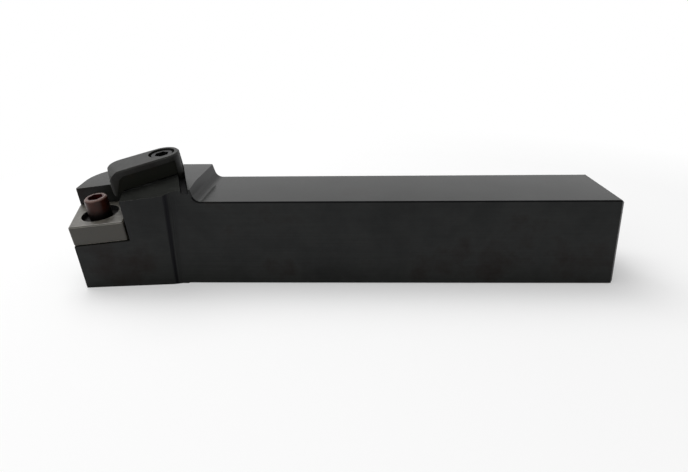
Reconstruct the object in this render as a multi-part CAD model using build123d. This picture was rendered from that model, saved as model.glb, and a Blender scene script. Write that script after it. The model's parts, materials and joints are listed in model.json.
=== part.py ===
from build123d import *
import os
from math import cos, radians, sin, tan

# A right-hand turning tool holder that clamps a rhombic insert by its hole and by its top. All lengths are in
# millimetres and all angles in degrees. +X runs along the shank to its rear end, +Y to the far side, +Z up.
# The origin lies on the base, on the shank's centre line, at the middle of the straight shank.

# Shank
shank_height = 20.0
shank_width = 20.0
overall_length = 125.0
head_length = 32.6
shank_edge_break = 0.3
end_edge_break = 0.6

# Head, with sizes along X counted from its front face, and heights from the shank's top
head_rise = 3.3
ramp_lean = 17.0
ramp_foot_radius = 2.0
front_corner_radius = 6.5
top_rise_along = 5.7
top_rise_across = 5.2
top_drop_at_tip = 0.2
near_clearance = 4.0
front_clearance = 5.0
near_margin = 0.35
front_margin = -0.15
flank_end_to_ramp_foot = 7.9
flank_run_out = 1.7
flank_run_out_radius = 1.5

# Insert seat: the inscribed circle stands for every insert of the size, the rake for both directions, and the
# cutting corner lies just under the height of the shank's top
insert_circle = 12.7
insert_thickness = 4.76
corner_angle = 100.0
edge_heading = 5.0
rake = 6.0
pin_from_front = 8.0
pin_from_near_side = 3.0
edge_drop = 0.1
pocket_relief_radius = 0.8

# Seat plate under the insert
plate_circle = 12.0
plate_thickness = 4.76
plate_corner_radius = 0.5
plate_edge_break = 0.25
plate_hole_diameter = 8.2
plate_hole_depth = 2.6
plate_lower_hole_diameter = 6.6

# Lock pin
pin_barrel_diameter = 5.0
pin_height = 4.1
pin_rim_chamfer = 0.35
pin_flange_thickness = 1.4
pin_flange_clearance = 0.1
pin_thread_diameter = 6.0
pin_thread_length = 8.0
pin_socket_width = 3.0
pin_socket_depth = 3.0

# Clamp, with heights counted square to the seat from the plate's top. With no insert under it, its nose
# stands lower than an insert's top by the drop.
clamp_heading = 39.0
clamp_reach = 16.8
clamp_width = 8.2
clamp_top = 9.7
clamp_drop = 0.5
clamp_nose_gap = 1.1
clamp_nose_overhang = 0.4
clamp_nose_skew = 1.9
clamp_brow_radius = 2.4
clamp_chin_rise = 1.3
clamp_chin_radius = 2.0
clamp_far_corner_radius = 4.0
clamp_near_corner_radius = 0.5
clamp_pad_length = 1.3
clamp_arch_height = 5.8
clamp_arch_slope = 0.8
clamp_recess_depth = 0.6
clamp_recess_top = 8.3
clamp_recess_behind = 2.6
clamp_recess_rim = 0.3
clamp_recess_lean = 20.0
clamp_recess_radius = 1.6
clamp_edge_break = 0.3

# Groove across the head for the clamp's heel
groove_heading = 110.3
groove_behind_clamp = 0.12
groove_width = 1.6
groove_depth = 1.5
groove_corner_radius = 0.4
heel_clearance = 0.15

# Clamp screw, threaded at both ends
screw_diameter = 6.0
screw_length = 20.0
screw_recess = 0.3
screw_neck_diameter = 4.8
screw_neck_length = 1.6
screw_neck_depth = 4.0
screw_end_chamfer = 0.55
screw_socket_width = 3.0
screw_socket_depth = 4.0
screw_hole_spare = 0.6
drill_point_angle = 118.0

# Fits
thread_clearance = 0.05
seating_gap = 0.05
wall_clearance = 0.02

# Length of a cutter or blank that only has to reach past the work, and how near to a place an edge must lie
# to be picked there
past = 40.0
pick = 0.01

shank_end = (overall_length - head_length) / 2
front = shank_end - overall_length
flank_length = head_length - flank_end_to_ramp_foot
head_end = front + flank_length + flank_run_out
near_side = -shank_width / 2
far_side = shank_width / 2
head_height = shank_height + head_rise
pad_front = clamp_reach - pin_barrel_diameter / 2 - clamp_nose_gap
nose_front = pad_front + clamp_nose_overhang
pad_height = insert_thickness - clamp_drop


def heading(angle):
    """Unit vector in plan, with the angle counted from +X towards +Y."""
    return Vector(cos(radians(angle)), sin(radians(angle)), 0)


# The seat's upward normal leans towards the front and the near side by the rake in each direction
cutting_slope = tan(radians(rake))
across_edge = heading(edge_heading + corner_angle - 90)
along_edge = heading(edge_heading + corner_angle)
seat_slope = across_edge * cutting_slope + along_edge * cutting_slope
seat_normal = Vector(-seat_slope.X, -seat_slope.Y, 1).normalized()


def rhombus(circle):
    """Corners of an insert-shaped rhombus round an inscribed circle, in the seat plane, from the tip on."""
    radius = circle / 2
    short = radius / tan(radians(corner_angle / 2))
    long = radius * tan(radians(corner_angle / 2))
    return [(-short, -radius), (long, -radius), (short, radius), (-long, radius)]


# The seat plane: origin at the pin on the plate's top, x along the near cutting edge, y to the far side. Its
# height puts the insert's cutting corner where it belongs.
level_seat = Plane(origin=(0, 0, 0), x_dir=heading(edge_heading), z_dir=seat_normal)
edge_corner = (level_seat * Pos(*rhombus(insert_circle)[0], insert_thickness) * Vertex(0, 0, 0)).center()
pin_foot = Vector(
    front + pin_from_front, near_side + pin_from_near_side, shank_height - edge_drop - edge_corner.Z
)
seat = Plane(origin=pin_foot, x_dir=heading(edge_heading), z_dir=seat_normal)

# The clamp plane: origin at the clamp screw, x towards the pin, y to the near side, z as the seat plane's
pin_to_screw = Plane(origin=pin_foot, x_dir=heading(clamp_heading), z_dir=seat_normal).x_dir
clamp_plane = Plane(
    origin=pin_foot + pin_to_screw * clamp_reach, x_dir=-pin_to_screw, z_dir=seat_normal
)

# The groove plane: origin on its rear wall behind the screw, at the head's top, x along it, y to the front
screw_at_top = clamp_plane.origin + seat_normal * ((head_height - clamp_plane.origin.Z) / seat_normal.Z)
groove_plane = Plane(
    origin=screw_at_top + heading(groove_heading - 90) * (clamp_width / 2 + groove_behind_clamp),
    x_dir=heading(groove_heading),
    z_dir=seat_normal,
)


def cylinder_on(plane, diameter, low, high):
    """Round bar square to a plane, between two heights over it."""
    return extrude(plane.offset(low) * Circle(diameter / 2), high - low)


def hex_socket(plane, width, depth, top):
    """Hexagonal socket with a drilled cone below it, cut down from a height over a plane."""
    hexagon = RegularPolygon(width / 2, 6, major_radius=False)
    flats = extrude(plane.offset(top - depth) * hexagon, depth + past)
    cone_height = width / 2 * tan(radians(90 - drill_point_angle / 2))
    point = plane * Pos(0, 0, top - depth - cone_height / 2) * Cone(0, width / 2, cone_height)
    return flats + point


def leaning_plane(point, angle, clearance):
    """Flank plane through a point: it runs along a heading in plan and leans out upwards by its clearance.
    Its normal points out of the tool."""
    outward = heading(angle - 90)
    run = heading(angle)
    rise = (Vector(0, 0, 1) + outward * tan(radians(clearance))).normalized()
    return Plane(origin=point, x_dir=run, z_dir=run.cross(rise))


def head_blank():
    """Block of the head, with the near side left as wide as the flank will need."""
    outline = Polyline(
        (front, far_side),
        (front, near_side - past),
        (front + flank_length, near_side - past),
        (front + flank_length, near_side),
        (head_end, near_side),
        (head_end, far_side),
        close=True,
    )
    block = extrude(make_face(outline), head_height)
    corner = block.edges().filter_by(Axis.Z).sort_by(lambda edge: edge.center().X - edge.center().Y)[0]
    return fillet(corner, front_corner_radius)


def shank():
    """Straight bar behind the head, with the ramp up to the head and its long edges and end broken."""
    bar = Pos((head_end + shank_end) / 2, 0, head_height / 2) * Box(
        shank_end - head_end, shank_width, head_height
    )
    bar = bar - ramp_cut()
    rear = bar.edges().filter_by(lambda edge: abs(edge.center().X - shank_end) < pick)
    bar = chamfer(rear, end_edge_break)
    sides = bar.edges().filter_by(Axis.X).filter_by(
        lambda edge: edge.length > shank_height and abs(abs(edge.center().Y) - far_side) < pick
    )
    return chamfer(sides, shank_edge_break)


def flank_planes():
    """Near and front flank, placed outside the plate's lower edges by their margins, or inside where a margin
    is negative."""
    tip = rhombus(plate_circle)[0]
    tip_below = seat * Pos(tip[0], tip[1], -plate_thickness) * Vertex(0, 0, 0)
    point = tip_below.center()
    near_point = point + heading(edge_heading - 90) * near_margin
    front_point = point + heading(edge_heading + corner_angle + 90) * front_margin
    near = leaning_plane(near_point, edge_heading, near_clearance)
    end = leaning_plane(front_point, edge_heading + corner_angle + 180, front_clearance)
    return near, end


def run_out(near_flank):
    """Wedge that leads the near flank's end back to the shank's side, with a rounded inner corner."""
    start = front + flank_length
    end = head_end + flank_run_out_radius

    def section(height):
        flank_line = near_flank.intersect(Axis((start, 0, height), (0, 1, 0)))
        outline = make_face(
            Polyline(
                (start, 0, height),
                (start, flank_line.Y, height),
                (head_end, near_side, height),
                (end, near_side, height),
                (end, 0, height),
                close=True,
            )
        )
        inner = outline.vertices().sort_by(lambda v: abs(v.X - head_end) + abs(v.Y - near_side))[0]
        return fillet(inner, flank_run_out_radius)

    return loft([section(0), section(head_height)], ruled=True)


def top_cut():
    """What lies above the sloping front part of the head's top."""
    slope_x = tan(radians(top_rise_along))
    slope_y = tan(radians(top_rise_across))
    normal = Vector(-slope_x, -slope_y, 1)
    tip = rhombus(insert_circle)[0]
    tip_point = (seat * Pos(tip[0], tip[1], 0) * Vertex(0, 0, 0)).center()
    face_point = Vector(tip_point.X, tip_point.Y, shank_height - top_drop_at_tip)
    top = Plane(origin=face_point, x_dir=(1, 0, slope_x), z_dir=normal)
    return extrude(top * Rectangle(4 * past, 4 * past), past)


def ramp_cut():
    """What lies above the shank, with the ramp that leads up to the head."""
    foot_angle = radians(90 - ramp_lean)
    foot_run = ramp_foot_radius * tan(foot_angle / 2)
    foot_x = front + head_length - foot_run
    side = Polyline(
        (foot_x - past * tan(radians(ramp_lean)), shank_height + past),
        (foot_x, shank_height),
        (shank_end + past, shank_height),
        (shank_end + past, shank_height + past),
        close=True,
    )
    profile = make_face(Plane.XZ * side)
    foot = profile.vertices().sort_by(lambda v: abs(v.X - foot_x) + abs(v.Z - shank_height))[0]
    return extrude(fillet(foot, ramp_foot_radius), past, both=True)


def pocket_cut():
    """Open pocket for the plate and the insert, with two walls square to the seat and a relieved corner."""
    radius = insert_circle / 2 + wall_clearance
    inner = radius / tan(radians(corner_angle / 2))
    wall_run = tan(radians(corner_angle - 90))
    outline = Polyline(
        (inner, radius),
        (inner + (radius + past) * wall_run, -past),
        (-past, -past),
        (-past, radius),
        close=True,
    )
    floor = seat.offset(-plate_thickness)
    pocket = extrude(floor * make_face(outline), past)
    relief = extrude(floor * Pos(inner, radius) * Circle(pocket_relief_radius), past)
    return pocket + relief


def groove_cut():
    """Groove across the head for the clamp's heel, with walls along the clamp's travel and a level floor."""
    band = Pos(0, groove_width / 2) * Rectangle(4 * shank_width, groove_width)
    walls = extrude(groove_plane.offset(-past / 2) * band, past)
    floor_height = head_height - groove_depth
    above = Pos(front, 0, floor_height + past / 2) * Box(2 * past, 2 * past, past)
    groove = walls & above
    bottom = groove.edges().filter_by(
        lambda edge: abs(edge.center().Z - floor_height) < pick and edge.length > shank_width
    )
    return fillet(bottom, groove_corner_radius)


def holder_body():
    """Shank and head in one piece."""
    near, end = flank_planes()
    head = split(head_blank(), bisect_by=near, keep=Keep.BOTTOM)
    head = head + run_out(near)
    head = split(head, bisect_by=end, keep=Keep.BOTTOM) - ramp_cut()
    body = head + shank()
    body = body - top_cut() - pocket_cut() - groove_cut()
    pin_hole = cylinder_on(seat, pin_thread_diameter + 2 * thread_clearance, -past, 0)
    return body - pin_hole - screw_hole()


def screw_hole():
    """Blind tapped hole for the clamp screw, with the drill's cone at its foot."""
    diameter = screw_diameter + 2 * thread_clearance
    floor = clamp_top - screw_recess - screw_length - screw_hole_spare
    cone_height = diameter / 2 * tan(radians(90 - drill_point_angle / 2))
    point = clamp_plane * Pos(0, 0, floor - cone_height / 2) * Cone(0, diameter / 2, cone_height)
    return cylinder_on(clamp_plane, diameter, floor, clamp_top) + point


def seat_plate():
    """Rhombic plate that lies on the seat under the insert, with a stepped hole for the lock pin."""
    face = seat.offset(-plate_thickness) * make_face(Polyline(*rhombus(plate_circle), close=True))
    plate = extrude(face, plate_thickness)
    upright = plate.edges().filter_by(lambda edge: abs(edge.length - plate_thickness) < pick)
    plate = fillet(upright, plate_corner_radius)
    rims = plate.faces().sort_by(lambda f: f.center().dot(seat_normal))
    plate = chamfer(rims[0].edges() + rims[-1].edges(), plate_edge_break)
    upper = cylinder_on(seat, plate_hole_diameter, -plate_hole_depth, past)
    lower = cylinder_on(seat, plate_lower_hole_diameter, -past, past)
    return plate - upper - lower


def lock_pin():
    """Pin through the insert's hole: socket and barrel above, a flange that holds the plate, thread below."""
    barrel_radius = pin_barrel_diameter / 2
    flange_radius = plate_hole_diameter / 2 - pin_flange_clearance
    thread_radius = pin_thread_diameter / 2
    flange_foot = -plate_hole_depth + seating_gap
    end = -plate_thickness - pin_thread_length
    half = Polyline(
        (0, pin_height),
        (barrel_radius - pin_rim_chamfer, pin_height),
        (barrel_radius, pin_height - pin_rim_chamfer),
        (barrel_radius, flange_foot + pin_flange_thickness),
        (flange_radius, flange_foot + pin_flange_thickness),
        (flange_radius, flange_foot),
        (thread_radius, flange_foot),
        (thread_radius, end + screw_end_chamfer),
        (thread_radius - screw_end_chamfer, end),
        (0, end),
        close=True,
    )
    pin = seat * revolve(make_face(Plane.XZ * half), Axis.Z)
    return pin - hex_socket(seat, pin_socket_width, pin_socket_depth, pin_height)


def clamp_outline():
    """The clamp seen square to the seat: round behind the screw, with a skewed nose."""
    half = clamp_width / 2
    far_front = nose_front - clamp_nose_skew
    sides = make_face(Polyline((0, half), (nose_front, half), (far_front, -half), (0, -half), close=True))
    far_corner = sides.vertices().sort_by(Axis.X)[2:].sort_by(Axis.Y)[0]
    sides = fillet(far_corner, clamp_far_corner_radius)
    near_corner = sides.vertices().sort_by(Axis.X)[-1]
    return fillet(near_corner, clamp_near_corner_radius) + Circle(half)


def clamp_side():
    """The clamp seen from the side: a nose with a round brow and a flat pad, and an arch behind the pad."""
    rear = -clamp_width
    pad_rear = pad_front - clamp_pad_length
    profile = make_face(
        Polyline(
            (rear, clamp_top),
            (nose_front, clamp_top),
            (nose_front, pad_height + clamp_chin_rise),
            (pad_front, pad_height),
            (pad_rear, pad_height),
            (pad_rear - clamp_arch_slope, clamp_arch_height),
            (rear, clamp_arch_height),
            close=True,
        )
    )
    chin, brow = profile.vertices().sort_by(Axis.X)[-2:].sort_by(Axis.Y)
    profile = fillet(chin, clamp_chin_radius)
    brow = profile.vertices().sort_by(lambda v: abs(v.X - nose_front) + abs(v.Y - clamp_top))[0]
    return fillet(brow, clamp_brow_radius)


def clamp_recess():
    """Shallow relief in each side of the clamp, open downwards, with a rim above it and along the nose."""
    lean = tan(radians(clamp_recess_lean))
    rim_foot = pad_front - clamp_recess_rim + pad_height * lean
    shape = make_face(
        Polyline(
            (-clamp_recess_behind, 0),
            (-clamp_recess_behind, clamp_recess_top),
            (rim_foot - clamp_recess_top * lean, clamp_recess_top),
            (rim_foot, 0),
            close=True,
        )
    )
    shape = fillet(shape.vertices().group_by(Axis.Y)[-1], clamp_recess_radius)
    relief = None
    for side in (1, -1):
        slab = extrude(Plane.XZ * shape, clamp_recess_depth / 2, both=True)
        placed = Pos(0, side * (clamp_width / 2 - clamp_recess_depth / 2), 0) * slab
        relief = placed if relief is None else relief + placed
    return relief


def clamp_heel():
    """Rib under the clamp's round end that stands in the groove."""
    band = Pos(0, groove_width / 2) * Rectangle(4 * shank_width, groove_width - 2 * heel_clearance)
    walls = extrude(groove_plane.offset(-past / 2) * band, past)
    round_end = cylinder_on(clamp_plane, clamp_width, -past, clamp_recess_top)
    foot = head_height - groove_depth + seating_gap
    rib = walls & (Pos(front, 0, foot + past / 2) * Box(2 * past, 2 * past, past))
    lowest = rib.faces().sort_by(Axis.Z)[0]
    feet = lowest.edges().filter_by(lambda edge: edge.length > shank_width)
    return chamfer(feet, groove_corner_radius) & round_end


def clamp():
    """Top clamp, drawn in its own plane and set over the screw."""
    bar = extrude(clamp_outline(), clamp_top)
    bar = chamfer(bar.faces().sort_by(Axis.Z)[-1].edges(), clamp_edge_break)
    bar = (bar & extrude(Plane.XZ * clamp_side(), past, both=True)) - clamp_recess()
    placed = clamp_plane * bar + clamp_heel()
    thread = cylinder_on(clamp_plane, screw_diameter + 2 * thread_clearance, -past, past)
    return placed - thread


def clamp_screw():
    """Double-ended screw with a plain neck between its two threads."""
    radius = screw_diameter / 2
    top = clamp_top - screw_recess
    end = top - screw_length
    neck_top = top - screw_neck_depth
    neck_end = neck_top - screw_neck_length
    neck_step = radius - screw_neck_diameter / 2
    half = Polyline(
        (0, top),
        (radius - screw_end_chamfer, top),
        (radius, top - screw_end_chamfer),
        (radius, neck_top),
        (radius - neck_step, neck_top - neck_step),
        (radius - neck_step, neck_end + neck_step),
        (radius, neck_end),
        (radius, end + screw_end_chamfer),
        (radius - screw_end_chamfer, end),
        (0, end),
        close=True,
    )
    screw = clamp_plane * revolve(make_face(Plane.XZ * half), Axis.Z)
    return screw - hex_socket(clamp_plane, screw_socket_width, screw_socket_depth, top)


pieces = {
    "holder_body": holder_body,
    "seat_plate": seat_plate,
    "lock_pin": lock_pin,
    "clamp": clamp,
    "clamp_screw": clamp_screw,
}

os.makedirs("parts", exist_ok=True)
for name, make in pieces.items():
    export_step(make(), "parts/" + name + ".step")
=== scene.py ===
import json
from math import cos, pi, radians, sin

import bmesh
import bpy
from mathutils import Matrix, Vector


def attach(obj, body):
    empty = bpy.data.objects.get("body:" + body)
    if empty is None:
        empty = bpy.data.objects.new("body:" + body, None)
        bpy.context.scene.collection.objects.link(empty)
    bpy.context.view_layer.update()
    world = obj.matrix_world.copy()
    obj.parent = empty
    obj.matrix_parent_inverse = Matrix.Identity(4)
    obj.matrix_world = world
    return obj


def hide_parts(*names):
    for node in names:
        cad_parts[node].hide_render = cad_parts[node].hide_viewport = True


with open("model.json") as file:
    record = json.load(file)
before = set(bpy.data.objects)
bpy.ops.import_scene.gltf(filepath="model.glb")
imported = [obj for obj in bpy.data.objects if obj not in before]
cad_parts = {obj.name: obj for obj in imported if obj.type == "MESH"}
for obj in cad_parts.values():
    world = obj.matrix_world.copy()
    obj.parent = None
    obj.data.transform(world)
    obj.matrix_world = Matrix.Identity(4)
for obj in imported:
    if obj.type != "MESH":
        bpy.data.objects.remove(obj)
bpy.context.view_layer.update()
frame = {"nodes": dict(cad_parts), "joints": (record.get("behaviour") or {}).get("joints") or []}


# Holder body
# One bar of alloy steel, sawn, milled to shape and hardened, with its shank ground along its length. A hot
# oxide bath then blackens it: the thin film is nearly black from the front and shines like slate at a slant.
MM = 0.001
EDGE_BREAK = 0.12 * MM
BEVEL_STEPS = 2
MERGE_DISTANCE = 0.0005 * MM
FLAT_ANGLE = radians(1.0)
SHARP_ANGLE = radians(28.0)
CREASE_ANGLE = radians(4.0)
CREASE_AREA = 50 * MM * MM
OXIDE = "#212220"
OXIDE_LIGHT = "#282927"
OXIDE_BROWN = "#201c18"
OXIDE_WORN = "#34332f"
BARE_STEEL = "#8f8e8a"
OXIDE_SHEEN = "#eeedff"
OXIDE_GLOSS = 0.1
DULL_GLOSS = 0.03
# Painted shade: black for the groove, the head's near top edge and the run-out's inner corner.
PAINTED_SHADE_BLACK = "#0b0b0b"
PAINTED_SHADE_DULL_BLACK = "#101010"
# The real tool lines are some ten times finer. They are drawn this coarse so that they show.
GRIND_LINE = 0.4 * MM
GRIND_LENGTH = 30 * MM
LINE_STRENGTH = 0.3
FILM_PATCH = 14 * MM
RUBBED_PATCH = 3.0 * MM
RUBBED_FROM = 0.78
RUBBED_FULL = 0.84
RUBBED_BLEND = 0.6
SMOOTHER = 0.05
ROUGHER = 0.07


def linear(hex_colour):
    """The linear colour of an sRGB hex value, with an alpha of one."""
    parts = [int(hex_colour[i:i + 2], 16) / 255 for i in (1, 3, 5)]
    return [p / 12.92 if p <= 0.04045 else ((p + 0.055) / 1.055) ** 2.4 for p in parts] + [1.0]


def add(tree, kind, links=(), inputs=None, stops=(), **settings):
    """A new node in a tree, with its settings, the values of its inputs, its links as pairs of an input and
    the socket that feeds it, and the stops of its colour ramp as pairs of a place and a colour."""
    node = tree.nodes.new(kind)
    for name, value in settings.items():
        setattr(node, name, value)
    for name, value in (inputs or {}).items():
        node.inputs[name].default_value = value
    for name, socket in links:
        tree.links.new(socket, node.inputs[name])
    for index, (place, colour) in enumerate(stops):
        ramp = node.color_ramp.elements
        stop = ramp[index] if index < len(ramp) else ramp.new(1.0)
        stop.position = place
        stop.color = linear(colour)
    return node


def new_material(name):
    """An empty material with its output node."""
    material = bpy.data.materials.new(name)
    material.use_nodes = True
    material.node_tree.nodes.clear()
    output = add(material.node_tree, "ShaderNodeOutputMaterial")
    return material, material.node_tree, output


def blackened(name, line_axis, colours, rubbed, roughness, line_depth, gloss=OXIDE_GLOSS, painted_shade_band=()):
    """Hot-blackened steel: a dark, faintly mottled film over fine tool lines along one axis, with little
    shine of its own. Where it is rubbed, specks of bare metal show through. From the start of a band along X
    to its middle a painted shade line darkens it to black, then clears again to its end."""
    material, tree, output = new_material(name)
    place = add(tree, "ShaderNodeTexCoord").outputs["Object"]
    scale = [1 / GRIND_LINE] * 3
    scale[line_axis] = 1 / GRIND_LENGTH
    stretched = add(tree, "ShaderNodeMapping", [("Vector", place)], {"Scale": scale})
    lines = add(tree, "ShaderNodeTexNoise", [("Vector", stretched.outputs[0])],
                {"Scale": 1.0, "Detail": 3.0, "Roughness": 0.6})
    patches = add(tree, "ShaderNodeTexNoise", [("Vector", place)],
                  {"Scale": 1 / FILM_PATCH, "Detail": 5.0, "Roughness": 0.62})
    specks = add(tree, "ShaderNodeTexNoise", [("Vector", place)],
                 {"Scale": 1 / RUBBED_PATCH, "Detail": 6.0, "Roughness": 0.7})
    dark, light, tint = colours
    film = add(tree, "ShaderNodeValToRGB", [("Fac", patches.outputs["Fac"])],
               stops=[(0.35, dark), (0.55, light), (0.72, tint)])
    streaks = add(tree, "ShaderNodeValToRGB", [("Fac", lines.outputs["Fac"])],
                  stops=[(0.25, "#ececec"), (0.7, "#ffffff")])
    lined = add(tree, "ShaderNodeMix", [("A", film.outputs[0]), ("B", streaks.outputs[0])],
                {"Factor": 1.0}, data_type="RGBA", blend_type="MULTIPLY")
    bare = add(tree, "ShaderNodeMapRange", [("Value", specks.outputs["Fac"])],
               {"From Min": RUBBED_FROM - rubbed, "From Max": RUBBED_FULL - rubbed * RUBBED_BLEND})
    colour = add(tree, "ShaderNodeMix", [("Factor", bare.outputs[0]), ("A", lined.outputs[2])],
                 {"B": linear(BARE_STEEL)}, data_type="RGBA")
    # The painted shade line: black at the middle of the band, clear at its ends.
    if painted_shade_band:
        along = add(tree, "ShaderNodeSeparateXYZ", [(0, place)]).outputs["X"]
        share = add(tree, "ShaderNodeMapRange", [("Value", along)],
                    {"From Min": painted_shade_band[0], "From Max": painted_shade_band[1]})
        painted_line_shade = add(tree, "ShaderNodeValToRGB", [("Fac", share.outputs[0])],
                   stops=[(0.0, "#ffffff"), (0.3, "#000000"), (0.7, "#000000"), (1.0, "#ffffff")])
        colour = add(tree, "ShaderNodeMix", [("Factor", painted_line_shade.outputs[0]), ("B", colour.outputs[2])],
                     {"A": linear(PAINTED_SHADE_BLACK)}, data_type="RGBA")
    satin = add(tree, "ShaderNodeMapRange", [("Value", lines.outputs["Fac"])],
                {"From Min": 0.3, "From Max": 0.7, "To Min": roughness - SMOOTHER,
                 "To Max": roughness + ROUGHER})
    bump = add(tree, "ShaderNodeBump", [("Height", lines.outputs["Fac"])],
               {"Strength": LINE_STRENGTH, "Distance": line_depth})
    shader = add(tree, "ShaderNodeBsdfPrincipled",
                 [("Base Color", colour.outputs[2]), ("Roughness", satin.outputs[0]),
                  ("Normal", bump.outputs[0]), ("Metallic", bare.outputs[0])],
                 {"Specular IOR Level": gloss, "Specular Tint": linear(OXIDE_SHEEN)})
    tree.links.new(shader.outputs[0], output.inputs["Surface"])
    return material


def finished_copy(node, name, edge, materials):
    """A copy of a node's mesh with the seams merged, its flats dissolved, the low crease between two wide
    flats kept crisp and its sharp edges rounded. The rounded edges take the last material."""
    mesh = frame["nodes"][node].data.copy()
    mesh.name = name
    mesh.materials.clear()
    for material in materials:
        mesh.materials.append(material)
    work = bmesh.new()
    work.from_mesh(mesh)
    bmesh.ops.remove_doubles(work, verts=work.verts, dist=MERGE_DISTANCE)
    bmesh.ops.dissolve_limit(work, angle_limit=FLAT_ANGLE, verts=work.verts, edges=work.edges)
    for face in work.faces:
        face.material_index = 0
        face.smooth = True
    for side in work.edges:
        wide = [face for face in side.link_faces if face.calc_area() > CREASE_AREA]
        side.smooth = len(wide) < 2 or side.calc_face_angle() < CREASE_ANGLE
    work.to_mesh(mesh)
    work.free()
    piece = bpy.data.objects.new(name, mesh)
    bpy.context.scene.collection.objects.link(piece)
    bevel = piece.modifiers.new("edges", "BEVEL")
    bevel.width = edge
    bevel.segments = BEVEL_STEPS
    bevel.limit_method = "ANGLE"
    bevel.angle_limit = SHARP_ANGLE
    bevel.material = len(materials) - 1
    bevel.use_clamp_overlap = True
    level = piece.modifiers.new("flat_faces_stay_flat", "WEIGHTED_NORMAL")
    level.keep_sharp = True
    piece.data = bpy.data.meshes.new_from_object(piece.evaluated_get(bpy.context.evaluated_depsgraph_get()))
    piece.data.name = name
    piece.modifiers.clear()
    return piece


ALONG_X, ALONG_Y, ALONG_Z = 0, 1, 2
GROUND, MILLED, DULL_AND_PAINTED_SHADE, RUN_OUT, CHIP_WORN, EDGE = range(6)
SHANK_TOP = 20.0 * MM
MILL_LEAN = 0.35
RUN_OUT_LEAN = 0.15
EDGE_LEAN = 0.3
RUN_OUT_PAINTED_SHADE = (-54.05 * MM, -53.1 * MM)
GROOVE_HEADING = radians(20.3)
GROOVE_START = 1.9 * MM
GROOVE_END = 4.0 * MM
CHIP_ZONE_FOOT = 20.6 * MM
CHIP_ZONE_END = -54.5 * MM

# Ground and blackened: smooth enough to mirror the dark clamp in the head's top.
ground_oxide = blackened("ground_and_blackened_steel", ALONG_X, (OXIDE, OXIDE_LIGHT, OXIDE_BROWN),
                         rubbed=0.0, roughness=0.17, line_depth=0.004 * MM)
# Milled and blackened: the cutter's ridges scatter the light, so the ramp is duller than the shank.
milled_oxide = blackened("milled_and_blackened_steel", ALONG_Y, (OXIDE, OXIDE_LIGHT, OXIDE_BROWN),
                         rubbed=0.0, roughness=0.33, line_depth=0.03 * MM)
# The groove and the broken near edge of the head: painted shade, black, with no shine.
dull_painted_shade_oxide = blackened("dull_painted_shade_of_groove_and_edge", ALONG_Z, (PAINTED_SHADE_BLACK, PAINTED_SHADE_DULL_BLACK, OXIDE_BROWN),
                       rubbed=0.0, roughness=0.55, line_depth=0.01 * MM, gloss=DULL_GLOSS)
# The run-out to the shank, with a painted shade line along its inner corner.
run_out_painted_shade_line = blackened("run_out_with_a_painted_shade_line", ALONG_Z, (OXIDE, OXIDE_LIGHT, OXIDE_BROWN),
                         rubbed=0.0, roughness=0.25, line_depth=0.006 * MM, painted_shade_band=RUN_OUT_PAINTED_SHADE)
# The head's near top edge, where chips have rubbed the film: a faint line of bare metal.
chip_worn = blackened("edge_worn_by_chips", ALONG_X, (OXIDE_WORN, OXIDE_WORN, OXIDE_BROWN),
                      rubbed=0.44, roughness=0.3, line_depth=0.006 * MM)
# The other edges, where the film is thinner: a little lighter than the flats.
worn_oxide = blackened("blackened_steel_edge", ALONG_X, (OXIDE_LIGHT, OXIDE_WORN, OXIDE_BROWN),
                       rubbed=0.24, roughness=0.3, line_depth=0.006 * MM)
bar = finished_copy("holder_body", "holder_bar", EDGE_BREAK,
                    [ground_oxide, milled_oxide, dull_painted_shade_oxide, run_out_painted_shade_line, chip_worn, worn_oxide])
joints = {joint["name"]: joint for joint in frame["joints"]}
screw_joint = joints["clamp_screw_turn"]
across_groove = Vector((cos(GROOVE_HEADING), sin(GROOVE_HEADING), 0))
# Each face takes its finish from where it lies and where it looks. Heights and places are the frame's own.
for face in bar.data.polygons:
    spot = face.center
    facing = face.normal
    on_head = spot.z > SHANK_TOP
    from_screw = (spot - Vector(screw_joint["pos_m"])).dot(across_groove)
    in_groove = on_head and GROOVE_START < from_screw < GROOVE_END
    in_run_out = spot.x < 0 and facing.x > RUN_OUT_LEAN and facing.y < -RUN_OUT_LEAN
    on_broken_edge = facing.z > EDGE_LEAN and facing.y < -EDGE_LEAN and spot.x > CHIP_ZONE_END
    # The broken near edge and the groove take the black painted shade.
    if on_broken_edge:
        face.material_index = DULL_AND_PAINTED_SHADE
    elif face.material_index == EDGE:
        if spot.z > CHIP_ZONE_FOOT and spot.x < CHIP_ZONE_END and spot.y < 0:
            face.material_index = CHIP_WORN
    elif in_groove:
        face.material_index = DULL_AND_PAINTED_SHADE
    elif in_run_out:
        face.material_index = RUN_OUT
    elif on_head and facing.x > MILL_LEAN:
        face.material_index = MILLED
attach(bar, "holder")
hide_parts("holder_body")


# Seat plate
# A rhombic plate of sintered carbide, pressed and then ground on both faces. It is left bare, a warm gray
# that is lighter than the steel round it, and its sides keep the darker skin of the sintering. Its bore is
# painted near black as shade, and its edge is painted lighter as a highlight.
PLATE_EDGE = 0.06 * MM
CARBIDE = "#55524a"
CARBIDE_DARK = "#302d27"
SINTER_SKIN = "#2f2b23"
SINTER_GRAY = "#2b2a25"
# Painted highlight along the honed edge.
CARBIDE_EDGE_PAINTED_HIGHLIGHT = "#77746c"
BORE_PAINTED_SHADE = "#0c0b09"
UPWARD = 0.9
FACE_GROUND, SIDE_SKIN, BORE_WALL = 0, 1, 2
BORE_RADIUS = 4.15 * MM
# The real grain and the lap's lines are finer than a pixel. They are drawn this coarse so that they show.
CARBIDE_GRAIN = 1.2 * MM
LAP_LINE = 0.35 * MM
LAP_LENGTH = 12 * MM
LAP_DEPTH = 0.008 * MM
LAP_STRENGTH = 0.3
LAP_ANGLE = radians(40)


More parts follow.
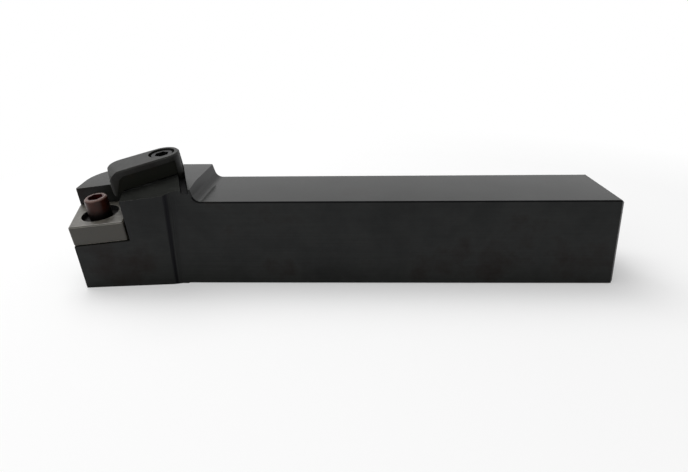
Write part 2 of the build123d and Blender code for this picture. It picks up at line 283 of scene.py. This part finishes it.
def carbide(name, dark, light, roughness):
    """Sintered carbide: a warm gray with an even, stony grain, and the lap's fine lines across it."""
    material, tree, output = new_material(name)
    place = add(tree, "ShaderNodeTexCoord").outputs["Object"]
    grain = add(tree, "ShaderNodeTexNoise", [("Vector", place)],
                {"Scale": 1 / CARBIDE_GRAIN, "Detail": 6.0, "Roughness": 0.6})
    turned = add(tree, "ShaderNodeMapping", [("Vector", place)],
                 {"Rotation": (0, 0, LAP_ANGLE), "Scale": (1 / LAP_LENGTH, 1 / LAP_LINE, 1 / LAP_LINE)})
    lap = add(tree, "ShaderNodeTexNoise", [("Vector", turned.outputs[0])],
              {"Scale": 1.0, "Detail": 2.0, "Roughness": 0.5})
    bump = add(tree, "ShaderNodeBump", [("Height", lap.outputs["Fac"])],
               {"Strength": LAP_STRENGTH, "Distance": LAP_DEPTH})
    tone = add(tree, "ShaderNodeValToRGB", [("Fac", grain.outputs["Fac"])],
               stops=[(0.3, dark), (0.7, light)])
    shader = add(tree, "ShaderNodeBsdfPrincipled",
                 [("Base Color", tone.outputs[0]), ("Normal", bump.outputs[0])],
                 {"Metallic": 0.0, "Roughness": roughness, "Specular IOR Level": 0.5})
    tree.links.new(shader.outputs[0], output.inputs["Surface"])
    return material


# The ground faces are the lightest part of the tool and shine softly.
plate_face = carbide("ground_carbide", CARBIDE_DARK, CARBIDE, roughness=0.38)
# The sides keep the darker, duller skin of the sintering.
plate_side = carbide("sintered_carbide_skin", SINTER_GRAY, SINTER_SKIN, roughness=0.45)
# The bore is never ground; it is painted almost black, a painted shade for the gap round the pin.
bore_painted_shade = carbide("carbide_bore_painted_shade", BORE_PAINTED_SHADE, BORE_PAINTED_SHADE, roughness=0.55)
# The honed edge is painted lighter, a painted highlight: a thin bright line.
plate_edge_painted_highlight = carbide("carbide_edge_painted_highlight", CARBIDE, CARBIDE_EDGE_PAINTED_HIGHLIGHT, roughness=0.34)
plate = finished_copy("seat_plate", "seat_plate_carbide", PLATE_EDGE,
                      [plate_face, plate_side, bore_painted_shade, plate_edge_painted_highlight])
pin_joint = joints["lock_pin_turn"]
# Faces round the bore take the painted shade; the other sides take the sintering skin.
for face in plate.data.polygons:
    from_axis = (face.center - Vector(pin_joint["pos_m"])).cross(Vector(pin_joint["axis"]))
    if face.material_index == FACE_GROUND and abs(face.normal.dot(Vector(pin_joint["axis"]))) < UPWARD:
        face.material_index = BORE_WALL if from_axis.length < BORE_RADIUS else SIDE_SKIN
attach(plate, "holder")
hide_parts("seat_plate")


# Lock pin
# A turned pin of hardened steel with a hexagonal socket, tempered to a red-brown film. The film is polished
# off on the rim of the socket, where the key goes in. Its lower end is threaded and holds the plate down.
PIN_EDGE = 0.05 * MM
PIN_BROWN = "#35170f"
PIN_DARK = "#260e09"
PIN_RIM = "#644f49"
PIN_SOCKET = "#330808"
# Painted shade at the pin's foot.
PIN_FOOT_PAINTED_SHADE = "#0a0706"
PIN_FOOT_SHADE_TOP = 1.9 * MM
PIN_SOCKET_RADIUS = 1.9 * MM
PIN_HEIGHT = 4.1 * MM
PIN_RIM_DEPTH = 0.3 * MM
PIN_FOOT_SHADE_BLEND = 1.5 * MM
PIN_SOCKET_BLEND = 0.05 * MM
PIN_MOTTLE = 1.5 * MM
THREAD_RADIUS = 3.0 * MM
THREAD_DEPTH = 0.55 * MM
THREAD_PITCH = 1.0 * MM
PIN_THREAD_TOP = -2.55 * MM
PIN_THREAD_LENGTH = 10.21 * MM
ROUND_STEPS = 48
STEPS_A_TURN = 8
ROOT_COVER = 0.06 * MM
ROW_SLACK = 0.002


def thread_tree():
    """A closed sleeve with a vee thread, centred on the Z axis, that starts at the origin. Its ends taper off
    under the root. Its last row of points lies on the first one, so that an inner wall joins both ends. A
    negative pitch winds it left-handed."""
    tree = bpy.data.node_groups.new("thread", "GeometryNodeTree")
    for name in ("Radius", "Depth", "Pitch", "Length"):
        tree.interface.new_socket(name, in_out="INPUT", socket_type="NodeSocketFloat")
    tree.interface.new_socket("Steps", in_out="INPUT", socket_type="NodeSocketInt")
    tree.interface.new_socket("Material", in_out="INPUT", socket_type="NodeSocketMaterial")
    tree.interface.new_socket("Geometry", in_out="OUTPUT", socket_type="NodeSocketGeometry")
    given = add(tree, "NodeGroupInput").outputs
    grid = add(tree, "GeometryNodeMeshGrid", [("Vertices Y", given["Steps"])],
               {"Size X": 1.0, "Size Y": 1.0, "Vertices X": ROUND_STEPS + 1})
    flat_place = add(tree, "GeometryNodeInputPosition").outputs[0]
    spot = add(tree, "ShaderNodeSeparateXYZ", [(0, flat_place)]).outputs
    share = add(tree, "ShaderNodeMath", [(0, spot["Y"])], {1: 0.5}, operation="ADD").outputs[0]
    gaps = add(tree, "ShaderNodeMath", [(0, given["Steps"])], {1: 1.0}, operation="SUBTRACT").outputs[0]
    row = add(tree, "ShaderNodeMath", [(0, share), (1, gaps)], operation="MULTIPLY").outputs[0]
    last = add(tree, "ShaderNodeMath", [(0, gaps)], {1: 1.0}, operation="SUBTRACT").outputs[0]
    climb = add(tree, "ShaderNodeMath", [(0, row), (1, last)], operation="DIVIDE").outputs[0]
    outer = add(tree, "ShaderNodeMath", [(0, climb)], {1: 1.0 + ROW_SLACK}, operation="LESS_THAN").outputs[0]
    risen = add(tree, "ShaderNodeMath", [(0, climb), (1, outer)], operation="MULTIPLY").outputs[0]
    height = add(tree, "ShaderNodeMath", [(0, risen), (1, given["Length"])], operation="MULTIPLY").outputs[0]
    turns = add(tree, "ShaderNodeMath", [(0, height), (1, given["Pitch"])], operation="DIVIDE").outputs[0]
    phase = add(tree, "ShaderNodeMath", [(0, turns), (1, spot["X"])], operation="SUBTRACT").outputs[0]
    valley = add(tree, "ShaderNodeMath", [(0, phase)], {1: 0.5}, operation="PINGPONG").outputs[0]
    sunk = add(tree, "ShaderNodeMath", [(0, valley), (1, given["Depth"])], operation="MULTIPLY").outputs[0]
    deep = add(tree, "ShaderNodeMath", [(0, sunk)], {1: 2.0}, operation="MULTIPLY").outputs[0]
    threaded = add(tree, "ShaderNodeMath", [(0, given["Radius"]), (1, deep)], operation="SUBTRACT").outputs[0]
    root = add(tree, "ShaderNodeMath", [(0, given["Radius"]), (1, given["Depth"])],
               operation="SUBTRACT").outputs[0]
    under = add(tree, "ShaderNodeMath", [(0, root)], {1: ROOT_COVER}, operation="SUBTRACT").outputs[0]
    above = add(tree, "ShaderNodeMath", [(0, given["Length"]), (1, height)], operation="SUBTRACT").outputs[0]
    to_end = add(tree, "ShaderNodeMath", [(0, height), (1, above)], operation="MINIMUM").outputs[0]
    taper = add(tree, "ShaderNodeMath", [(0, under), (1, to_end)], operation="ADD").outputs[0]
    radius = add(tree, "ShaderNodeMath", [(0, threaded), (1, taper)], operation="MINIMUM").outputs[0]
    angle = add(tree, "ShaderNodeMath", [(0, spot["X"])], {1: 2 * pi}, operation="MULTIPLY").outputs[0]
    across = add(tree, "ShaderNodeMath", [(0, angle)], operation="COSINE").outputs[0]
    aside = add(tree, "ShaderNodeMath", [(0, angle)], operation="SINE").outputs[0]
    x = add(tree, "ShaderNodeMath", [(0, radius), (1, across)], operation="MULTIPLY").outputs[0]
    y = add(tree, "ShaderNodeMath", [(0, radius), (1, aside)], operation="MULTIPLY").outputs[0]
    place = add(tree, "ShaderNodeCombineXYZ", [("X", x), ("Y", y), ("Z", height)])
    wound = add(tree, "GeometryNodeSetPosition",
                [("Geometry", grid.outputs["Mesh"]), ("Position", place.outputs[0])])
    closed = add(tree, "GeometryNodeMergeByDistance", [("Geometry", wound.outputs[0])],
                 {"Distance": MERGE_DISTANCE})
    solid = add(tree, "GeometryNodeRealizeInstances", [("Geometry", closed.outputs[0])])
    finish = add(tree, "GeometryNodeSetMaterial",
                 [("Geometry", solid.outputs[0]), ("Material", given["Material"])])
    add(tree, "NodeGroupOutput", [("Geometry", finish.outputs[0])])
    return tree


vee_thread = thread_tree()


def cut_threads(piece, joint, runs):
    """Sinks a piece's plain threaded sides to the root and winds a thread over each run, given as the foot's
    height over the joint's place, the length and the signed pitch."""
    axis = Vector(joint["axis"])
    foot = Vector(joint["pos_m"])
    turn = axis.to_track_quat("Z", "Y").to_matrix().to_4x4()
    root = THREAD_RADIUS - THREAD_DEPTH
    work = bmesh.new()
    work.from_mesh(piece.data)
    for vertex in work.verts:
        height = (vertex.co - foot).dot(axis)
        centre = foot + axis * height
        out = vertex.co - centre
        threaded = any(low - EDGE_BREAK < height < low + length + EDGE_BREAK for low, length, pitch in runs)
        if threaded and root < out.length < THREAD_RADIUS + EDGE_BREAK:
            vertex.co = centre + out * (root / out.length)
    for low, length, pitch in runs:
        sleeve = bpy.data.objects.new("sleeve", bpy.data.meshes.new("sleeve"))
        bpy.context.scene.collection.objects.link(sleeve)
        modifier = sleeve.modifiers.new("thread", "NODES")
        modifier.node_group = vee_thread
        sockets = {item.name: item.identifier for item in vee_thread.interface.items_tree}
        values = {"Radius": THREAD_RADIUS, "Depth": THREAD_DEPTH, "Pitch": pitch, "Length": length,
                  "Steps": int(length / abs(pitch) * STEPS_A_TURN), "Material": piece.data.materials[0]}
        for name, value in values.items():
            modifier[sockets[name]] = value
        wound = bpy.data.meshes.new_from_object(sleeve.evaluated_get(bpy.context.evaluated_depsgraph_get()))
        bpy.data.objects.remove(sleeve)
        wound.transform(Matrix.Translation(foot + axis * low) @ turn)
        for face in wound.polygons:
            face.use_smooth = True
        work.from_mesh(wound)
    work.to_mesh(piece.data)
    work.free()


# Tempered steel: a half-glossy film, red-brown and faintly mottled, worn pale on the rim of the socket, deep
# red inside it, and painted dark towards the foot as shade down in the bore.
pin_brown, tree, output = new_material("tempered_steel_pin")
place = add(tree, "ShaderNodeTexCoord").outputs["Object"]
from_foot = add(tree, "ShaderNodeVectorMath", [(0, place)], {1: pin_joint["pos_m"]}, operation="SUBTRACT")
height = add(tree, "ShaderNodeVectorMath", [(0, from_foot.outputs[0])], {1: pin_joint["axis"]},
             operation="DOT_PRODUCT").outputs["Value"]
off_axis = add(tree, "ShaderNodeVectorMath", [(0, from_foot.outputs[0])], {1: pin_joint["axis"]},
               operation="CROSS_PRODUCT")
radius = add(tree, "ShaderNodeVectorMath", [(0, off_axis.outputs[0])], operation="LENGTH").outputs["Value"]
mottle = add(tree, "ShaderNodeTexNoise", [("Vector", place)],
             {"Scale": 1 / PIN_MOTTLE, "Detail": 4.0, "Roughness": 0.6})
film = add(tree, "ShaderNodeValToRGB", [("Fac", mottle.outputs["Fac"])],
           stops=[(0.3, PIN_DARK), (0.65, PIN_BROWN)])
rim = add(tree, "ShaderNodeMapRange", [("Value", height)],
          {"From Min": PIN_HEIGHT - PIN_RIM_DEPTH, "From Max": PIN_HEIGHT - 0.5 * PIN_RIM_DEPTH})
colour = add(tree, "ShaderNodeMix", [("Factor", rim.outputs[0]), ("A", film.outputs[0])],
             {"B": linear(PIN_RIM)}, data_type="RGBA")
inside = add(tree, "ShaderNodeMapRange", [("Value", radius)],
             {"From Min": PIN_SOCKET_RADIUS, "From Max": PIN_SOCKET_RADIUS - PIN_SOCKET_BLEND})
lined = add(tree, "ShaderNodeMix", [("Factor", inside.outputs[0]), ("A", colour.outputs[2])],
            {"B": linear(PIN_SOCKET)}, data_type="RGBA")
# Painted shade: the pin darkens towards its foot, which stands down in the plate's bore.
foot_shade = add(tree, "ShaderNodeMapRange", [("Value", height)],
            {"From Min": PIN_FOOT_SHADE_TOP, "From Max": PIN_FOOT_SHADE_TOP - PIN_FOOT_SHADE_BLEND})
with_foot_shade = add(tree, "ShaderNodeMix", [("Factor", foot_shade.outputs[0]), ("A", lined.outputs[2])],
             {"B": linear(PIN_FOOT_PAINTED_SHADE)}, data_type="RGBA")
shader = add(tree, "ShaderNodeBsdfPrincipled", [("Base Color", with_foot_shade.outputs[2])],
             {"Metallic": 0.0, "Roughness": 0.32, "Specular IOR Level": 0.2})
tree.links.new(shader.outputs[0], output.inputs["Surface"])
pin = finished_copy("lock_pin", "lock_pin_turned", PIN_EDGE, [pin_brown])
cut_threads(pin, pin_joint, [(PIN_THREAD_TOP - PIN_THREAD_LENGTH, PIN_THREAD_LENGTH, THREAD_PITCH)])
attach(pin, "lock_pin")
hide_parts("lock_pin")


# Top clamp
# A forged arm of tool steel, blackened, with its top ground flat. The shallow relief in each side keeps the
# dull skin of the forging and is painted darker as shade, and handling has rubbed the film along the upper
# edges.
CLAMP_EDGE = 0.14 * MM
CLAMP_BLACK = "#262724"
CLAMP_GRAY = "#2d2d2a"
FORGED_SKIN_PAINTED_SHADE = "#1a1b15"
FORGED_BROWN = "#241f14"
CLAMP_RUBBED = "#44433e"
RELIEF_HALF_WIDTH = 3.65 * MM
SIDE_FACING = 0.95
TOP_GROUND, FORGED_AND_PAINTED_SHADE = 0, 1
CLAMP_RADIUS = 4.1 * MM
BORE_REACH = 3.5 * MM
ARCH_HEIGHT = 5.8 * MM
ARCH_DROP = 1.0 * MM
FORGING_DRAFT = 0.25 * MM

# Ground and blackened, like the holder but with a coarser wheel: dark and satin.
clamp_oxide = blackened("ground_clamp_steel", ALONG_Y, (CLAMP_BLACK, CLAMP_GRAY, OXIDE_BROWN),
                        rubbed=0.0, roughness=0.34, line_depth=0.01 * MM)
# The skin that the forging leaves in the relief: rough, with a trace of brown, and painted dark as the
# relief's shade.
forged_skin_painted_shade = blackened("forged_clamp_steel_painted_shade", ALONG_Y, (FORGED_SKIN_PAINTED_SHADE, FORGED_SKIN_PAINTED_SHADE, FORGED_BROWN),
                         rubbed=0.0, roughness=0.6, line_depth=0.03 * MM)
# The rim that hands have rubbed: lighter, with bare specks.
clamp_edge = blackened("rubbed_clamp_edge", ALONG_Y, (OXIDE_WORN, CLAMP_RUBBED, OXIDE_BROWN),
                       rubbed=0.28, roughness=0.32, line_depth=0.006 * MM)
arm = finished_copy("clamp", "clamp_arm", CLAMP_EDGE, [clamp_oxide, forged_skin_painted_shade, clamp_edge])
up_axis = Vector(screw_joint["axis"])
along = (Vector(pin_joint["pos_m"]) - Vector(screw_joint["pos_m"])).normalized()
sideways = up_axis.cross(along)
# No light shows under the real arm, so its arch is let down a little further, and the draft of the forging
# brings the foot of its round end close to the groove's wall. The bore keeps its place.
for vertex in arm.data.vertices:
    from_screw = vertex.co - Vector(screw_joint["pos_m"])
    height = from_screw.dot(up_axis)
    behind = max(0.0, -from_screw.dot(along) / CLAMP_RADIUS)
    outside = (from_screw - up_axis * height).length > BORE_REACH
    if abs(height - ARCH_HEIGHT) < CLAMP_EDGE:
        vertex.co -= up_axis * ARCH_DROP + along * (FORGING_DRAFT * behind if outside else 0.0)
# The side faces inside the relief take the painted shade.
for face in arm.data.polygons:
    offset = (face.center - Vector(screw_joint["pos_m"])).dot(sideways)
    looks_aside = abs(face.normal.dot(sideways)) > SIDE_FACING
    if face.material_index == TOP_GROUND and looks_aside and abs(offset) < RELIEF_HALF_WIDTH:
        face.material_index = FORGED_AND_PAINTED_SHADE
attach(arm, "clamp")
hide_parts("clamp")


# Clamp screw
# A double-ended screw of hardened steel with a hexagonal socket, left in its oiled black film. Its upper end
# has a left-hand thread and its lower end a right-hand one, so one turn moves the clamp by two pitches.
SCREW_EDGE = 0.05 * MM
SCREW_TOP = 9.4 * MM
SCREW_NECK_TOP = 5.4 * MM
SCREW_NECK_END = 3.8 * MM
SCREW_END = -10.6 * MM
OILED_DARK = "#0e0e0e"
OILED_BLACK = "#1b1b1b"
OILED_BROWN = "#1a1612"

# Blackened and oiled: darker than the arm round it and half glossy.
screw_oxide = blackened("oiled_black_steel", ALONG_Z, (OILED_DARK, OILED_BLACK, OILED_BROWN),
                        rubbed=0.05, roughness=0.22, line_depth=0.004 * MM)
screw = finished_copy("clamp_screw", "clamp_screw_turned", SCREW_EDGE, [screw_oxide])
cut_threads(screw, screw_joint, [(SCREW_NECK_TOP, SCREW_TOP - SCREW_NECK_TOP, -THREAD_PITCH),
                                 (SCREW_END, SCREW_NECK_END - SCREW_END, THREAD_PITCH)])
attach(screw, "clamp_screw")
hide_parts("clamp_screw")


# Floor
# A wide pale sheet under the tool, which fades into the white behind it.
FLOOR_RADIUS = 3.0
FLOOR_COLOUR = "#f2f2f2"
FADE_START = 0.08
FADE_END = 0.17
FLOOR_LIFT = 0.35

floor_mesh = bpy.data.meshes.new("floor")
work = bmesh.new()
bmesh.ops.create_grid(work, x_segments=1, y_segments=1, size=FLOOR_RADIUS)
work.to_mesh(floor_mesh)
work.free()
floor = bpy.data.objects.new("floor", floor_mesh)
bpy.context.scene.collection.objects.link(floor)
# Matt white paper: it takes the tool's soft shadow, and further out it is as white as the room.
paper, tree, output = new_material("matt_white_sheet")
place = add(tree, "ShaderNodeTexCoord").outputs["Object"]
distance = add(tree, "ShaderNodeVectorMath", [(0, place)], operation="LENGTH").outputs["Value"]
far = add(tree, "ShaderNodeMapRange", [("Value", distance)],
          {"From Min": FADE_START, "From Max": FADE_END}).outputs[0]
seen = add(tree, "ShaderNodeLightPath").outputs["Is Camera Ray"]
lift = add(tree, "ShaderNodeMath", [(0, seen)], {1: FLOOR_LIFT}, operation="MULTIPLY").outputs[0]
pale = add(tree, "ShaderNodeMath", [(0, far), (1, lift)], operation="MAXIMUM").outputs[0]
matt = add(tree, "ShaderNodeBsdfDiffuse", inputs={"Color": linear(FLOOR_COLOUR)})
white = add(tree, "ShaderNodeEmission", inputs={"Color": (1, 1, 1, 1), "Strength": 1.0})
blend = add(tree, "ShaderNodeMixShader", [(0, pale), (1, matt.outputs[0]), (2, white.outputs[0])])
tree.links.new(blend.outputs[0], output.inputs["Surface"])
floor_mesh.materials.append(paper)


# Light
# A broad soft lamp overhead and behind, a weak one from the front left, and a white surround that is weaker
# on the right.
LAMP_SIZE = 0.6
OVERHEAD_POWER = 5.0
OVERHEAD_PLACE = (-0.3, 0.25, 0.7)
OVERHEAD_TARGET = (0, 0, 0)
FILL_POWER = 1.0
FILL_PLACE = (-0.5, -0.5, 0.4)
FILL_TARGET = (-0.05, 0, 0)
SURROUND_LEFT = 0.62
SURROUND_RIGHT = 0.24


def lamp(name, power, place, target):
    """A square area lamp that faces a point."""
    light = bpy.data.lights.new(name, "AREA")
    light.energy = power
    light.size = LAMP_SIZE
    holder = bpy.data.objects.new(name, light)
    holder.location = place
    holder.rotation_euler = (Vector(target) - Vector(place)).to_track_quat("-Z", "Y").to_euler()
    bpy.context.scene.collection.objects.link(holder)


lamp("overhead", OVERHEAD_POWER, OVERHEAD_PLACE, OVERHEAD_TARGET)
lamp("front_left", FILL_POWER, FILL_PLACE, FILL_TARGET)

world = bpy.data.worlds.new("white_room")
bpy.context.scene.world = world
world.use_nodes = True
tree = world.node_tree
tree.nodes.clear()
path = add(tree, "ShaderNodeLightPath")
seen = add(tree, "ShaderNodeMath",
           [(0, path.outputs["Is Camera Ray"]), (1, path.outputs["Is Transmission Ray"])],
           operation="MAXIMUM")
shown = add(tree, "ShaderNodeMath", [(0, seen.outputs[0]), (1, path.outputs["Is Glossy Ray"])],
            operation="MAXIMUM")
direction = add(tree, "ShaderNodeSeparateXYZ", [(0, add(tree, "ShaderNodeTexCoord").outputs["Generated"])])
side = add(tree, "ShaderNodeMapRange", [("Value", direction.outputs["X"])],
           {"From Min": -1.0, "To Min": SURROUND_LEFT, "To Max": SURROUND_RIGHT})
strength = add(tree, "ShaderNodeMapRange", [("Value", shown.outputs[0]), ("To Min", side.outputs[0])],
               {"To Max": 1.0})
surround = add(tree, "ShaderNodeBackground", [("Strength", strength.outputs[0])], {"Color": (1, 1, 1, 1)})
add(tree, "ShaderNodeOutputWorld", [("Surface", surround.outputs[0])])


# Camera
# It stands close to the tool at the photograph's viewpoint, a hand above the shank, looking a little down.
FRAME_WIDTH, FRAME_HEIGHT = 688, 472
SENSOR_WIDTH = 36.0
CAMERA_PLACE = (-0.01057, -0.11688, 0.05770)
YAW = radians(-2.03)
PITCH = radians(17.79)
ROLL = radians(-0.90)
FOCAL_PIXELS = 517.4
CENTRE_PIXEL = (344.4, 186.9)
CLIP_START = 0.005

forward = Vector((cos(PITCH) * sin(YAW), cos(PITCH) * cos(YAW), -sin(PITCH)))
level_right = Vector((cos(YAW), -sin(YAW), 0))
level_up = level_right.cross(forward)
right = cos(ROLL) * level_right + sin(ROLL) * level_up
up = cos(ROLL) * level_up - sin(ROLL) * level_right
camera_data = bpy.data.cameras.new("camera")
camera = bpy.data.objects.new("camera", camera_data)
bpy.context.scene.collection.objects.link(camera)
camera.matrix_world = Matrix.Translation(CAMERA_PLACE) @ Matrix((right, up, -forward)).transposed().to_4x4()
camera_data.sensor_width = SENSOR_WIDTH
camera_data.lens = FOCAL_PIXELS / FRAME_WIDTH * SENSOR_WIDTH
camera_data.shift_x = (FRAME_WIDTH / 2 - CENTRE_PIXEL[0]) / FRAME_WIDTH
camera_data.shift_y = (CENTRE_PIXEL[1] - FRAME_HEIGHT / 2) / FRAME_WIDTH
camera_data.clip_start = CLIP_START
bpy.context.scene.camera = camera
bpy.context.scene.view_settings.view_transform = "Standard"
